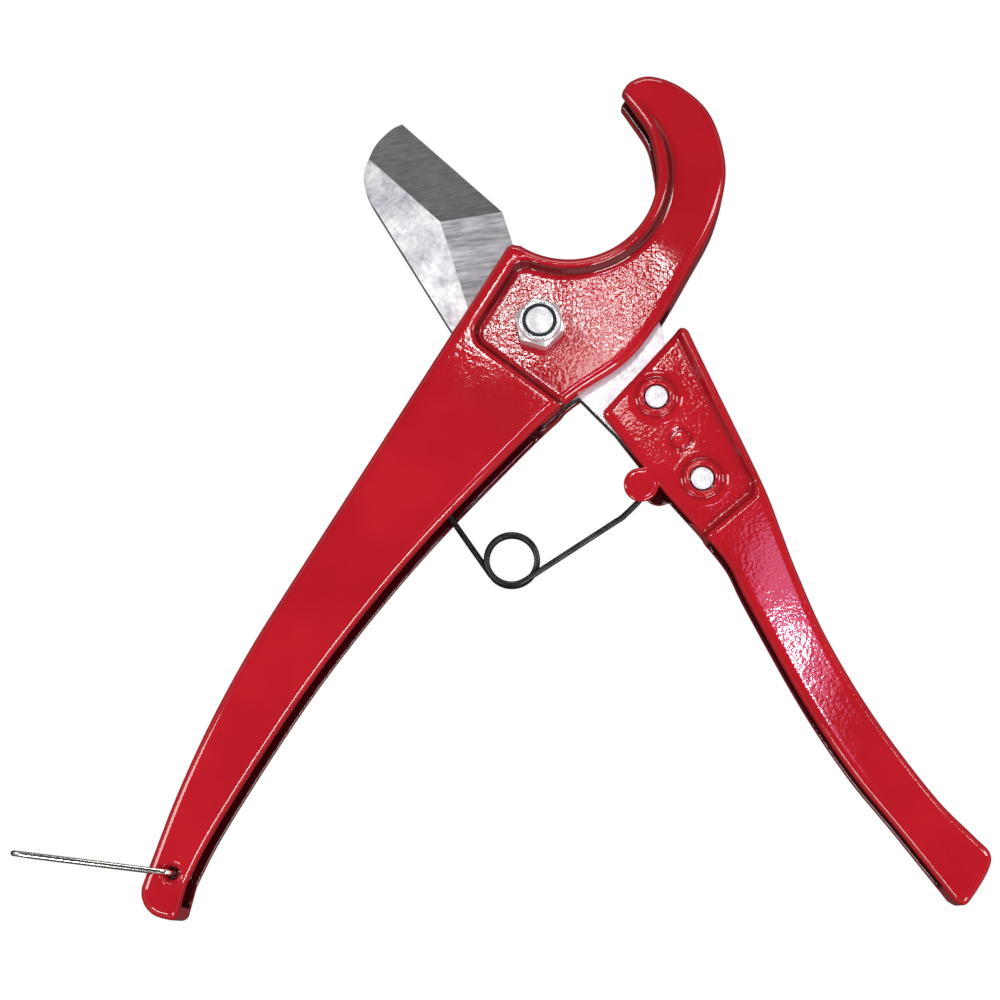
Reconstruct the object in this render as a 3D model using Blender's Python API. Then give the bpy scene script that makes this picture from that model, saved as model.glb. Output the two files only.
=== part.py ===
"""A scissor-type PVC pipe cutter: two die-cast handles, a riveted blade, a return spring and a wire bail.

The tool lies flat: its thickness runs along +Z, and its jaw opens towards +Y. The origin is on the
pivot's axis, at the flat underside of the pivot bolt's head. All sizes below are in millimetres.
"""

import math

import bmesh
import bpy
from mathutils import Matrix, Vector

MM = 0.001

# Thickness: heights above and below the tool's middle plane.
MIDDLE_Z = 11.0
BODY_HALF = 9.0          # fixed handle, and the rims round its head's recessed web
BODY_CHANNEL_HALF = 6.5  # inside of the fixed handle's open channel
BODY_WEB_HALF = 6.8      # recessed faces of the fixed head and hook
LEVER_HALF = 6.1         # moving handle, narrow enough to close into the fixed one's channel
LEVER_CHANNEL_HALF = 3.8
LEVER_WEB_HALF = 4.2     # recessed faces of the moving handle's head
BOSS_HALF = 5.3          # raised rings round the rivets
BLADE_SLOT_HALF = 3.0    # slot in the fixed head and hook
TAIL_SLOT_HALF = 2.4     # slot in the moving handle that holds the blade's tail
BLADE_HALF = 2.1
EDGE_ROUND = 1.3         # rounding along a casting's outline
WEB_SLOPE = 1.4          # width of the sloping step down to a recessed web
CUT_LOW_Z = -5.0         # cuts that go right through run between these heights
CUT_HIGH_Z = 30.0

# The blade's cutting edge: a long run from the point to an elbow, then a short run to the heel.
POINT = (-31.0, 49.2)
ELBOW = (-8.4, 28.4)
EDGE_END = (-3.4, 12.4)
LONG_BEVEL_WIDTH = 11.4
SHORT_BEVEL_WIDTH = 14.0
EDGE_HALF = 0.12

# Jaw: the hook's inner arc, and the rim that follows it.
JAW_CENTRE = (6.5, 34.8)
JAW_RADIUS = 19.6
WEB_ARC_RADIUS = 23.4

# Pivot: an M6 hexagon bolt with a self-locking nut, a sleeve and two thrust washers.
BOLT_RADIUS = 3.0
BOLT_HEAD_HEIGHT = 4.0
HEX_ACROSS_FLATS = 10.0
HEX_TURN = -17.0         # how far the nut and the bolt stand turned from the X axis
BOLT_END_Z = 24.9
NUT_LOW_Z = 18.1
NUT_HEX_HEIGHT = 4.4
NUT_HEIGHT = 6.0
NUT_COLLAR_RADIUS = 4.6
NYLON_OUTER_RADIUS = 3.9
NYLON_INNER_RADIUS = 3.3
CHEEK_HOLE_RADIUS = 3.3
BUSH_OUTER_RADIUS = 4.5
BUSH_HALF = 2.7
BLADE_BORE_RADIUS = 4.8
WASHER_OUTER_RADIUS = 8.0
WASHER_THICKNESS = 0.5
WASHER_GAP = 0.2

# Sweeps about the pivot that the castings leave room for.
HUB_RADIUS = 17.0        # round back of the blade at the pivot
HUB_SLOT_RADIUS = 17.6
TAIL_SWEEP_RADIUS = 21.8
CHANNEL_TOP_RADIUS = 21.5

# Rivets, bosses and the ears that hold the spring's end.
RIVETS = {"upper_rivet": (25.4, -15.3), "lower_rivet": (35.1, -33.5)}
RIVET_RADIUS = 2.45
RIVET_HALF = 5.4
RIVET_HOLE_RADIUS = 2.75
BOSS_RADIUS = 4.3
FRONT_EAR = (21.9, -34.5)
BACK_EAR = (26.0, -34.4)
EAR_RADIUS = 3.8
EAR_GAP = 0.95           # from the middle plane to an ear's inner face

# Return spring: a coil with two legs.
SPRING_CENTRE = (-6.3, -50.6)
SPRING_RADIUS = 5.5
SPRING_WIRE = 1.3
SPRING_PITCH = 1.5
LEG_1_HEADING = 124.8
LEG_1_LENGTH = 31.5
LEG_2_HEADING = 33.6
LEG_2_LENGTH = 25.4
LEG_1_DROP = 0.3         # leg 1 lies this far below the coil's first turn
SPRING_TURNS = 2
SPRING_HOOK = [(21.4, -37.7), (22.2, -36.0)]   # leg 2's hooked end, between the ears
SPRING_KNEE_TURN = 6.0   # leg 2 starts to bend into its hook over this short run
SPRING_KNEE_RUN = 0.8
SPRING_PIECE_GAP = 6.0   # degrees of the first turn left out between leg 1 and the coil

# Wire bail that holds the handles together when the tool is put away.
BAIL_HOLE = (-77.6, -118.1)
BAIL_HOLE_RADIUS = 1.4
BAIL_WIRE = 1.2
BAIL_LENGTH = 34.1
BAIL_HEADING = 173.0
BAIL_GAP = 0.15
BAIL_BEND = 2.2
BAIL_STUB = 3.6          # how far each end reaches in through the hole

# Colours, linear RGB.
RED_PAINT = (0.45, 0.006, 0.012)
STEEL = (0.62, 0.62, 0.63)
ZINC = (0.72, 0.73, 0.75)
NYLON = (0.10, 0.12, 0.16)
BLACK_WIRE = (0.012, 0.012, 0.013)


# ---------------------------------------------------------------- outlines

def arc(centre, radius, start, end, steps=12):
    """Points round a centre, from one angle in degrees to another."""
    points = []
    for i in range(steps + 1):
        angle = math.radians(start + (end - start) * i / steps)
        points.append((centre[0] + radius * math.cos(angle), centre[1] + radius * math.sin(angle)))
    return points


def curve(anchors, steps=3):
    """A smooth curve through its anchors (Catmull-Rom)."""
    ends = [anchors[0]] + list(anchors) + [anchors[-1]]
    points = []
    for before, start, end, after in zip(ends, ends[1:], ends[2:], ends[3:]):
        for i in range(steps):
            t = i / steps
            points.append(tuple(
                0.5 * (2 * s + (e - b) * t + (2 * b - 5 * s + 4 * e - a) * t ** 2
                       + (3 * s - b - 3 * e + a) * t ** 3)
                for b, s, e, a in zip(before, start, end, after)))
    points.append(tuple(anchors[-1]))
    return points


def corner(before, tip, after, radius, steps=4):
    """The rounded corner between two straight runs."""
    tip = Vector(tip)
    back = (Vector(before) - tip).normalized()
    on = (Vector(after) - tip).normalized()
    half = back.angle(on) / 2
    centre = tip + (back + on).normalized() * (radius / math.sin(half))
    start = tip + back * (radius / math.tan(half)) - centre
    end = tip + on * (radius / math.tan(half)) - centre
    turn = start.angle_signed(end)
    return [tuple(centre + Matrix.Rotation(-turn * i / steps, 2) @ start) for i in range(steps + 1)]


def polar(heading, length, origin=(0, 0)):
    angle = math.radians(heading)
    return (origin[0] + length * math.cos(angle), origin[1] + length * math.sin(angle))


def cleaned(points, least=0.05):
    """The outline without points that lie on top of each other."""
    kept = [points[0]]
    for point in points[1:]:
        if math.dist(point, kept[-1]) > least:
            kept.append(point)
    if math.dist(kept[0], kept[-1]) < least:
        kept.pop()
    return kept


def grown(points, distance):
    """A counterclockwise outline moved outwards by a distance (inwards where it is negative)."""
    moved = []
    count = len(points)
    for i, point in enumerate(points):
        back = (Vector(point) - Vector(points[i - 1])).normalized()
        on = (Vector(points[(i + 1) % count]) - Vector(point)).normalized()
        side = Vector((back.y + on.y, -back.x - on.x)).normalized()
        reach = distance / max(side.dot(Vector((on.y, -on.x))), 0.5)
        moved.append(tuple(Vector(point) + side * reach))
    return moved


def body_outline():
    """Counterclockwise: up the handle's inner edge, round the hook, down the jaw and the outer edge."""
    inner_edge = curve([(-74.6, -120.6), (-67.5, -107.0), (-48.8, -77.9), (-28.5, -52.0), (-7.9, -30.0),
                        (6.0, -16.6), (18.6, -7.8), (26.0, 1.2), (33.2, 13.5), (38.9, 24.5), (41.4, 36.5),
                        (38.4, 48.4), (32.0, 55.1), (25.1, 57.8), (20.4, 56.6), (18.4, 54.0)], steps=4)
    tip = curve([(18.4, 54.0), (21.0, 50.2), (24.4, 44.6), polar(8, JAW_RADIUS, JAW_CENTRE)])
    jaw = arc(JAW_CENTRE, JAW_RADIUS, 8, -123, steps=24)
    head_corner = corner((-2.0, 17.3), (-6.6, 19.0), (-20.0, -2.9), 1.7)
    bend = corner((-6.6, 19.0), (-70.2, -83.2), (-85.6, -124.0), 250.0, steps=8)
    end = corner((-70.2, -83.2), (-86.0, -126.0), (-76.8, -128.2), 5.5, steps=6)
    toe = corner((-86.0, -126.0), (-76.8, -128.2), (-71.4, -116.0), 1.7)
    return cleaned(inner_edge + tip + jaw + head_corner + bend + end + toe)


def body_web_outline():
    """The recessed face of the fixed head and hook; it runs out past the casting's outer edge."""
    left = [(-14.2, -2.1), (-5.4, 11.9)]
    jaw_side = arc(JAW_CENTRE, WEB_ARC_RADIUS, -112, 62, steps=24)
    outside = [(30.0, 70.0), (60.0, 60.0), (60.0, -30.0), (13.1, -23.0)]
    return cleaned((left + jaw_side + outside)[::-1])


def slot_outline():
    """Where the blade passes between the cheeks, and its groove in the hook."""
    stop = [(-24.0, 6.6), (-16.7, -5.6)]
    hub = arc((0, 0), HUB_SLOT_RADIUS, -161, -130, steps=6)
    tail = arc((0, 0), TAIL_SWEEP_RADIUS, -130, -38, steps=12)
    groove = curve([(36.0, 2.0), (28.0, 5.4), (26.6, 9.4), (30.2, 15.8), (35.2, 26.0), (37.4, 36.0),
                    (35.4, 45.2), (31.6, 50.3), (26.6, 53.1), (22.0, 55.0), (18.0, 55.6), (12.0, 55.0)])
    return cleaned(stop + hub + tail + [(36.0, -12.0)] + groove + [(-10.0, 42.0)])


def body_channel_outline():
    """The fixed handle's channel, open along the inner edge and closed at the spine and the end."""
    top = arc((0, 0), CHANNEL_TOP_RADIUS, -157, -70, steps=12)
    spine = curve([(-19.8, -8.4), (-42.0, -43.6), (-53.2, -61.5), (-66.0, -83.8), (-74.6, -102.0),
                   (-81.2, -121.4)])
    end = [(-79.8, -125.0), (-66.0, -125.0)]
    open_side = [(-62.0, -116.0), (-40.0, -81.0), (-12.0, -48.0), (14.0, -22.0)]
    return cleaned(spine + end + open_side + top[::-1])


def lever_outline():
    """Counterclockwise: up the moving handle's outer edge, over its top, and down its inner edge."""
    outer = curve([(86.3, -123.9), (88.5, -124.8), (90.6, -122.6), (93.8, -117.4), (94.2, -114.0),
                   (90.8, -110.3), (82.8, -101.9), (70.6, -85.0), (61.1, -68.3), (55.2, -54.3), (51.9, -45.0),
                   (49.4, -37.8), (45.9, -29.7), (38.2, -12.9), (34.5, -4.8)])
    top = corner((34.5, -4.8), (31.7, 1.5), (17.2, -14.3), 1.6)
    knuckle = corner((17.2, -14.3), (13.2, -18.6), (21.0, -28.9), 1.8)
    inner = curve([(21.0, -28.9), (28.2, -37.8), (34.8, -45.4), (40.4, -52.6), (44.4, -60.9), (55.9, -82.4),
                   (65.6, -97.5), (75.2, -109.6), (86.3, -123.9)])
    return cleaned(outer + top + knuckle + inner)


def lever_web_outline():
    """The recessed face of the moving handle's head, open past its inner and top edges."""
    return [(12.0, 2.0), (5.0, -20.0), (29.5, -50.2), (45.4, -37.0), (45.6, -34.6), (37.9, -18.8),
            (30.2, -2.2), (27.6, 4.6)]


def lever_channel_outline():
    """The moving handle's channel, open along the inner edge."""
    spine = curve([(46.2, -39.8), (48.0, -46.0), (51.8, -55.6), (58.4, -69.8), (68.2, -86.8), (79.2, -103.8),
                   (86.8, -113.2), (88.4, -116.4), (84.6, -120.6)])
    open_side = [(36.8, -47.0), (28.0, -54.0), (66.0, -114.0), (76.0, -126.0)]
    return cleaned(open_side + spine[::-1])


def tail_slot_outline():
    """The slot for the blade's tail in the moving handle's head."""
    return [(5.0, -20.0), (25.0, -44.0), (37.0, -42.2), (43.4, -35.4), (34.6, -16.4), (29.0, -5.4),
            (34.0, 4.0), (16.0, 4.0)]


def blade_outline():
    """Counterclockwise from the blade's point: nose, spine, hub, tail, heel and the two cutting edges."""
    nose = curve([POINT, (-33.4, 47.8), (-36.6, 44.2), (-38.4, 40.2), (-39.4, 36.6), (-39.0, 33.4),
                  (-37.6, 30.1)])
    hub = arc((0, 0), HUB_RADIUS, -163, -60, steps=16)
    tail = [(29.2, -36.2), (36.4, -40.4), (41.6, -34.6), (33.0, -16.4)]
    heel = curve([(27.6, -3.2), (26.4, 2.1), (23.6, 6.4), (14.0, 9.4), (2.0, 9.6), (-2.6, 11.4)])
    return cleaned(nose + hub + tail + heel + [EDGE_END, ELBOW])


# ---------------------------------------------------------------- solids

def link(name, mesh):
    thing = bpy.data.objects.new(name, mesh)
    bpy.context.scene.collection.objects.link(thing)
    return thing


def stacked(name, rings):
    """A closed solid through rings of (x, y, z) points, capped at the first and the last."""
    shape = bmesh.new()
    rows = [[shape.verts.new(Vector(point) * MM) for point in ring] for ring in rings]
    for low, high in zip(rows, rows[1:]):
        for i in range(len(low)):
            j = (i + 1) % len(low)
            shape.faces.new((low[i], low[j], high[j], high[i]))
    shape.faces.new(rows[0][::-1])
    shape.faces.new(rows[-1])
    bmesh.ops.recalc_face_normals(shape, faces=shape.faces)
    mesh = bpy.data.meshes.new(name)
    shape.to_mesh(mesh)
    shape.free()
    return link(name, mesh)


def prism(name, outline, low, high):
    return stacked(name, [[(x, y, z) for x, y in outline] for z in (low, high)])


def rounded_plate(name, outline, half, rounding):
    """A plate about the middle plane whose outline's edges are rounded."""
    rings = []
    for angle in (90, 50, 0):
        inset = -rounding * (1 - math.cos(math.radians(angle)))
        height = half - rounding + rounding * math.sin(math.radians(angle))
        rings.append((inset, height))
    levels = [(inset, -height) for inset, height in rings] + rings[::-1]
    return stacked(name, [[(x, y, MIDDLE_Z + height) for x, y in grown(outline, inset)]
                          for inset, height in levels])


def drum(name, centre, profile, sides=32):
    """A turned solid about a vertical axis, from (radius, z) pairs from its low end to its high end."""
    rings = [[(*polar(360 * i / sides, radius, centre), z) for i in range(sides)] for radius, z in profile]
    return stacked(name, rings)


def bore(name, centre, radius, sides=24):
    """The cutter for a round hole right through."""
    return drum(name, centre, [(radius, CUT_LOW_Z), (radius, CUT_HIGH_Z)], sides)


def tube(name, centre, outer, inner, low, high, sides=32):
    """A plain ring."""
    shape = drum(name, centre, [(outer, low), (outer, high)], sides)
    subtract(shape, bore(name + "_bore", centre, inner, sides))
    return shape


def boolean(thing, tool, operation):
    tool.hide_render = True
    tool.display_type = "WIRE"
    modifier = thing.modifiers.new(tool.name, "BOOLEAN")
    modifier.operation = operation
    modifier.solver = "EXACT"
    modifier.object = tool


def subtract(thing, tool):
    boolean(thing, tool, "DIFFERENCE")


def unite(thing, tool):
    boolean(thing, tool, "UNION")


def wire(name, points, diameter, resolution=3):
    """A round wire along its points."""
    path = bpy.data.curves.new(name, "CURVE")
    path.dimensions = "3D"
    path.bevel_depth = diameter / 2 * MM
    path.bevel_resolution = resolution
    path.use_fill_caps = True
    spline = path.splines.new("POLY")
    spline.points.add(len(points) - 1)
    for spot, point in zip(spline.points, points):
        spot.co = (*(Vector(point) * MM), 1.0)
    return link(name, path)


def paint(thing, name, colour, metallic, roughness):
    material = bpy.data.materials.get(name)
    if material is None:
        material = bpy.data.materials.new(name)
        material.use_nodes = True
        shader = material.node_tree.nodes["Principled BSDF"]
        shader.inputs["Base Color"].default_value = (*colour, 1.0)
        shader.inputs["Metallic"].default_value = metallic
        shader.inputs["Roughness"].default_value = roughness
    thing.data.materials.append(material)


# ---------------------------------------------------------------- castings

def recess(thing, name, outline, half, web_half):
    """Cut a sloping-sided web into both faces."""
    for side, label in ((1, "front"), (-1, "back")):
        over = half + 1.0
        spread = WEB_SLOPE * (over - web_half) / (half - web_half)
        rings = [[(x, y, MIDDLE_Z + side * web_half) for x, y in outline],
                 [(x, y, MIDDLE_Z + side * over) for x, y in grown(outline, spread)]]
        subtract(thing, stacked(f"{name}_{label}", rings))


def body_casting():
    """The fixed handle, head and slotted hook, cast in one piece."""
    casting = rounded_plate("body_casting", body_outline(), BODY_HALF, EDGE_ROUND)
    recess(casting, "cut_body_web", body_web_outline(), BODY_HALF, BODY_WEB_HALF)
    subtract(casting, prism("cut_blade_slot", slot_outline(),
                            MIDDLE_Z - BLADE_SLOT_HALF, MIDDLE_Z + BLADE_SLOT_HALF))
    subtract(casting, prism("cut_body_channel", body_channel_outline(),
                            MIDDLE_Z - BODY_CHANNEL_HALF, MIDDLE_Z + BODY_CHANNEL_HALF))
    subtract(casting, bore("cut_pivot_hole", (0, 0), CHEEK_HOLE_RADIUS, 32))
    subtract(casting, bore("cut_bail_hole", BAIL_HOLE, BAIL_HOLE_RADIUS))
    paint(casting, "red_paint", RED_PAINT, 0.0, 0.22)


def ear(name, centre, low, high):
    return drum(name, centre, [(EAR_RADIUS - 0.6, low), (EAR_RADIUS, low + 0.6),
                               (EAR_RADIUS, high - 0.6), (EAR_RADIUS - 0.6, high)], 24)


def moving_handle():
    """The lever: a narrower channel than the fixed handle's, and a flatter head that nests inside it."""
    casting = rounded_plate("moving_handle", lever_outline(), LEVER_HALF, EDGE_ROUND)
    recess(casting, "cut_lever_web", lever_web_outline(), LEVER_HALF, LEVER_WEB_HALF)
    unite(casting, ear("add_front_ear", FRONT_EAR, MIDDLE_Z + EAR_GAP, MIDDLE_Z + LEVER_WEB_HALF - 0.2))
    unite(casting, ear("add_back_ear", BACK_EAR, MIDDLE_Z - LEVER_WEB_HALF + 0.2, MIDDLE_Z - EAR_GAP))
    for name, centre in RIVETS.items():
        unite(casting, drum(f"add_{name}_boss", centre, [
            (BOSS_RADIUS - 0.5, MIDDLE_Z - BOSS_HALF), (BOSS_RADIUS, MIDDLE_Z - BOSS_HALF + 0.5),
            (BOSS_RADIUS, MIDDLE_Z + BOSS_HALF - 0.5), (BOSS_RADIUS - 0.5, MIDDLE_Z + BOSS_HALF)]))
    subtract(casting, prism("cut_tail_slot", tail_slot_outline(),
                            MIDDLE_Z - TAIL_SLOT_HALF, MIDDLE_Z + TAIL_SLOT_HALF))
    subtract(casting, prism("cut_lever_channel", lever_channel_outline(),
                            MIDDLE_Z - LEVER_CHANNEL_HALF, MIDDLE_Z + LEVER_CHANNEL_HALF))
    for name, centre in RIVETS.items():
        subtract(casting, bore(f"cut_{name}_hole", centre, RIVET_HOLE_RADIUS))
    paint(casting, "red_paint", RED_PAINT, 0.0, 0.22)


# ---------------------------------------------------------------- blade

def bevel_cutter(name, start, end, width, overrun, side):
    """A wedge above (or below) one ground facet of the blade, from its edge to its ridge."""
    along = (Vector(end) - Vector(start)).normalized()
    inward = Vector((along.y, -along.x))
    slope = (BLADE_HALF - EDGE_HALF) / width
    section = [(-4.0, EDGE_HALF - 4.0 * slope), (width + 2.0, BLADE_HALF + 2.0 * slope),
               (-4.0, BLADE_HALF + 3.0)]
    rings = []
    for base in (Vector(start) - along * overrun, Vector(end) + along * overrun):
        rings.append([(*(base + inward * depth), MIDDLE_Z + side * height) for depth, height in section])
    return stacked(name, rings)


def blade():
    """Flat steel, ground on both faces along its two cutting edges."""
    steel = prism("blade", blade_outline(), MIDDLE_Z - BLADE_HALF, MIDDLE_Z + BLADE_HALF)
    facets = {"long": (POINT, ELBOW, LONG_BEVEL_WIDTH, 7.0),
              "short": (ELBOW, EDGE_END, SHORT_BEVEL_WIDTH, 6.0)}
    for run, (start, end, width, overrun) in facets.items():
        for side, label in ((1, "front"), (-1, "back")):
            subtract(steel, bevel_cutter(f"cut_{run}_bevel_{label}", start, end, width, overrun, side))
    subtract(steel, bore("cut_blade_bore", (0, 0), BLADE_BORE_RADIUS, 32))
    for name, centre in RIVETS.items():
        subtract(steel, bore(f"cut_blade_{name}", centre, RIVET_HOLE_RADIUS))
    paint(steel, "ground_steel", STEEL, 1.0, 0.3)


# ---------------------------------------------------------------- pivot and fasteners

def hexagon(name, low, high):
    """A plain hexagonal block about the pivot's axis."""
    corner_radius = HEX_ACROSS_FLATS / 2 / math.cos(math.radians(30))
    return prism(name, arc((0, 0), corner_radius, HEX_TURN, HEX_TURN + 300, steps=5), low, high)


def pivot_bolt():
    bolt = hexagon("pivot_bolt", 0.0, BOLT_HEAD_HEIGHT)
    unite(bolt, drum("add_bolt_shank", (0, 0), [
        (BOLT_RADIUS, BOLT_HEAD_HEIGHT - 1.0), (BOLT_RADIUS, BOLT_END_Z - 0.7),
        (BOLT_RADIUS - 0.7, BOLT_END_Z)]))
    paint(bolt, "zinc", ZINC, 1.0, 0.25)


def lock_nut():
    nut = hexagon("lock_nut", NUT_LOW_Z, NUT_LOW_Z + NUT_HEX_HEIGHT)
    top = NUT_LOW_Z + NUT_HEIGHT
    unite(nut, drum("add_nut_collar", (0, 0), [
        (NUT_COLLAR_RADIUS, top - 2.5), (NUT_COLLAR_RADIUS, top - 0.8), (NUT_COLLAR_RADIUS - 0.5, top)]))
    subtract(nut, bore("cut_nut_thread", (0, 0), CHEEK_HOLE_RADIUS, 32))
    seat = NYLON_OUTER_RADIUS + 0.2
    subtract(nut, drum("cut_nylon_seat", (0, 0), [(seat, top - 1.7), (seat, top + 1)]))
    paint(nut, "zinc", ZINC, 1.0, 0.25)
    ring = tube("nut_nylon_ring", (0, 0), NYLON_OUTER_RADIUS, NYLON_INNER_RADIUS, top - 1.5, top - 0.3)
    paint(ring, "nylon", NYLON, 0.0, 0.5)


def pivot_sleeve_and_washers():
    sleeve = tube("pivot_bush", (0, 0), BUSH_OUTER_RADIUS, CHEEK_HOLE_RADIUS,
                  MIDDLE_Z - BUSH_HALF, MIDDLE_Z + BUSH_HALF)
    paint(sleeve, "zinc", ZINC, 1.0, 0.25)
    for side, name in ((1, "front_thrust_washer"), (-1, "back_thrust_washer")):
        near = MIDDLE_Z + side * (BLADE_HALF + WASHER_GAP)
        far = near + side * WASHER_THICKNESS
        washer = tube(name, (0, 0), WASHER_OUTER_RADIUS, BLADE_BORE_RADIUS, min(near, far), max(near, far))
        paint(washer, "zinc", ZINC, 1.0, 0.25)


def rivets():
    for name, centre in RIVETS.items():
        rivet = drum(name, centre, [
            (RIVET_RADIUS - 0.4, MIDDLE_Z - RIVET_HALF), (RIVET_RADIUS, MIDDLE_Z - RIVET_HALF + 0.25),
            (RIVET_RADIUS, MIDDLE_Z + RIVET_HALF - 0.25), (RIVET_RADIUS - 0.4, MIDDLE_Z + RIVET_HALF)], 24)
        paint(rivet, "zinc", ZINC, 1.0, 0.25)


# ---------------------------------------------------------------- wires

def spring():
    """The coil turns counterclockwise and upwards, from leg 1 at the back to leg 2 at the front.

    The two legs turn apart as the tool opens, so leg 1 is a piece of its own."""
    first = LEG_1_HEADING + 90
    last = LEG_2_HEADING - 90 + 360 * (SPRING_TURNS + 1)
    low = MIDDLE_Z - SPRING_PITCH * (last - first) / 360 / 2
    steps = int((last - first) / 15)
    points = []
    for i in range(steps + 1):
        angle = first + SPRING_PIECE_GAP + (last - first - SPRING_PIECE_GAP) * i / steps
        height = low + SPRING_PITCH * (angle - first) / 360
        points.append((*polar(angle, SPRING_RADIUS, SPRING_CENTRE), height))
    top = points[-1]
    for t in (0.3, 0.6, 0.9):
        points.append((*polar(LEG_2_HEADING, LEG_2_LENGTH * t, top), top[2] + (MIDDLE_Z - top[2]) * t))
    knee = polar(LEG_2_HEADING, LEG_2_LENGTH, top)
    bent = polar(LEG_2_HEADING + SPRING_KNEE_TURN, SPRING_KNEE_RUN, knee)
    points += [(*spot, MIDDLE_Z) for spot in [bent] + SPRING_HOOK]
    coil = wire("spring_coil", points, SPRING_WIRE)
    paint(coil, "black_wire", BLACK_WIRE, 0.6, 0.4)
    foot = polar(first, SPRING_RADIUS, SPRING_CENTRE)
    level = low - LEG_1_DROP
    tip = polar(LEG_1_HEADING, LEG_1_LENGTH, foot)
    leg = wire("spring_leg", [(*foot, level), (*tip, level)], SPRING_WIRE)
    paint(leg, "black_wire", BLACK_WIRE, 0.6, 0.4)


def bail():
    """A wire loop whose bent-in ends swing in the holes at the end of the fixed handle."""
    reach = BODY_HALF + BAIL_GAP + BAIL_WIRE / 2
    stub = BODY_HALF - BAIL_STUB
    straight = reach - BAIL_BEND
    path = [(0, stub), (0, straight)]
    path += arc((BAIL_BEND, straight), BAIL_BEND, 180, 90, 6)
    path += arc((BAIL_LENGTH - BAIL_BEND, straight), BAIL_BEND, 90, 0, 6)
    path += [(x, -z) for x, z in path[::-1]]
    points = [(*polar(BAIL_HEADING, x, BAIL_HOLE), MIDDLE_Z + z) for x, z in cleaned(path)]
    loop = wire("bail_wire", points, BAIL_WIRE)
    paint(loop, "zinc", ZINC, 1.0, 0.25)


def main():
    for thing in list(bpy.data.objects):
        bpy.data.objects.remove(thing)
    body_casting()
    moving_handle()
    blade()
    pivot_bolt()
    lock_nut()
    pivot_sleeve_and_washers()
    rivets()
    spring()
    bail()


main()
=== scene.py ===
"""The looks of a PVC pipe cutter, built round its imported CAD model.

The CAD model is the frame: it holds every place and size. This script gives it fine surfaces. The two
castings, the nut and the bolt are distance fields, meshed. The bush and the two thrust washers keep their
CAD solids, and the other pieces are built directly. Sizes are in millimetres and the outlines are the CAD
model's. Heights ending in HALF are from the tool's middle plane, and those ending in Z from the outer face
of the bolt's head.
"""

import math

import bmesh
import bpy
import numpy as np
from mathutils import Matrix, Vector


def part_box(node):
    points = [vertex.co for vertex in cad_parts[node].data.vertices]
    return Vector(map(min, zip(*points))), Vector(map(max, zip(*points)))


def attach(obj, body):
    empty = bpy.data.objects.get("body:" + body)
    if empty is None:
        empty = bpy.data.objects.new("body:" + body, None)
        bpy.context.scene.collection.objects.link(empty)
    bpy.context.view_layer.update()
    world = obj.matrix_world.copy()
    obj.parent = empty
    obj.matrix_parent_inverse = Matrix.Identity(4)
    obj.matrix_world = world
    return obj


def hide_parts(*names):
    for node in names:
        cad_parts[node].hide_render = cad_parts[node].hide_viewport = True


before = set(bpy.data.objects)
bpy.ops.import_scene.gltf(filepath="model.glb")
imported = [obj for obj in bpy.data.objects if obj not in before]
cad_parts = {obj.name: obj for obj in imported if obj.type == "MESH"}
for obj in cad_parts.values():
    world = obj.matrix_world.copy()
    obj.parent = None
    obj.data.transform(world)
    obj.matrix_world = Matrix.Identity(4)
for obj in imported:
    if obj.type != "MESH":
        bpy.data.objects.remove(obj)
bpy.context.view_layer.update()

MM = 0.001

# Thickness.
MIDDLE_Z = 11.0
BODY_HALF = 9.0
BODY_CHANNEL_HALF = 6.5
BODY_WEB_HALF = 6.8
LEVER_HALF = 6.1
LEVER_CHANNEL_HALF = 3.8
LEVER_WEB_HALF = 4.2
BOSS_HALF = 5.4
BLADE_SLOT_HALF = 3.0
TAIL_SLOT_HALF = 2.4
BLADE_HALF = 2.1

# Blade.
POINT = (-31.0, 49.2)
ELBOW = (-8.4, 28.4)
EDGE_END = (-3.4, 12.4)
LONG_BEVEL_WIDTH = 11.4
SHORT_BEVEL_WIDTH = 14.0
EDGE_HALF = 0.12
BROKEN_EDGE = 0.09
HUB_RADIUS = 17.0
BLADE_BORE_RADIUS = 4.8

# Castings.
JAW_CENTRE = (6.5, 34.8)
JAW_RADIUS = 19.6
WEB_ARC_RADIUS = 23.4
HUB_SLOT_RADIUS = 17.6
TAIL_SWEEP_RADIUS = 21.8
CHANNEL_TOP_RADIUS = 21.5
CHEEK_HOLE_RADIUS = 3.3
ROUGH_SPOTS = [(-8.0, 4.0), (19.0, 8.0)]     # where the cast face is at its roughest
ROUGH_FADE = (8.0, 15.0)     # how far from those places it fades
GRAIN_FADE = (26.0, 34.0)    # how far from the pivot the fixed head's grain fades
WEB_CORNER = 3.0         # rounding of the fixed head's web where its outline turns
BODY_EDGE_ROUND = 2.0
LEVER_EDGE_ROUND = 1.7
CHANNEL_ROUND = 1.2
STEP_WIDTH = 1.3         # of the slope down to a recessed face
JAW_STEP_WIDTH = 1.7     # of the broader slope behind the jaw's bead
HOOK_ANGLES = (5.0, 58.0)    # round the jaw's centre, where the recess shallows out on the hook
HOOK_REACH = (14.0, 22.0)    # the same along X
HOOK_WEB_RISE = 0.8
HOOK_RIM_DROP = 0.9
RIVETS = {"upper_rivet": (25.4, -15.3), "lower_rivet": (35.1, -33.5)}
RIVET_RADIUS = 2.45
RIVET_HALF = 5.4
RIVET_HOLE_RADIUS = 2.75
BOSS_RADIUS = 4.3
BOSS_ROUND = 1.0
PAD_RADII = (5.3, 5.9)   # of the low pad round each rivet's boss, at its top and its foot
PAD_HEIGHT = 0.30
RING_MARK = (30.6, -24.8)
RING_MARK_RADIUS = 2.2
RING_MARK_DEPTH = 0.20
RING_MARK_WIDTH = 0.3
FRONT_EAR = (21.9, -34.5)
BACK_EAR = (26.0, -34.4)
EAR_RADIUS = 3.8
EAR_GAP = 0.95
EAR_TOP = 3.6
EAR_ROUND = 0.6
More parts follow.
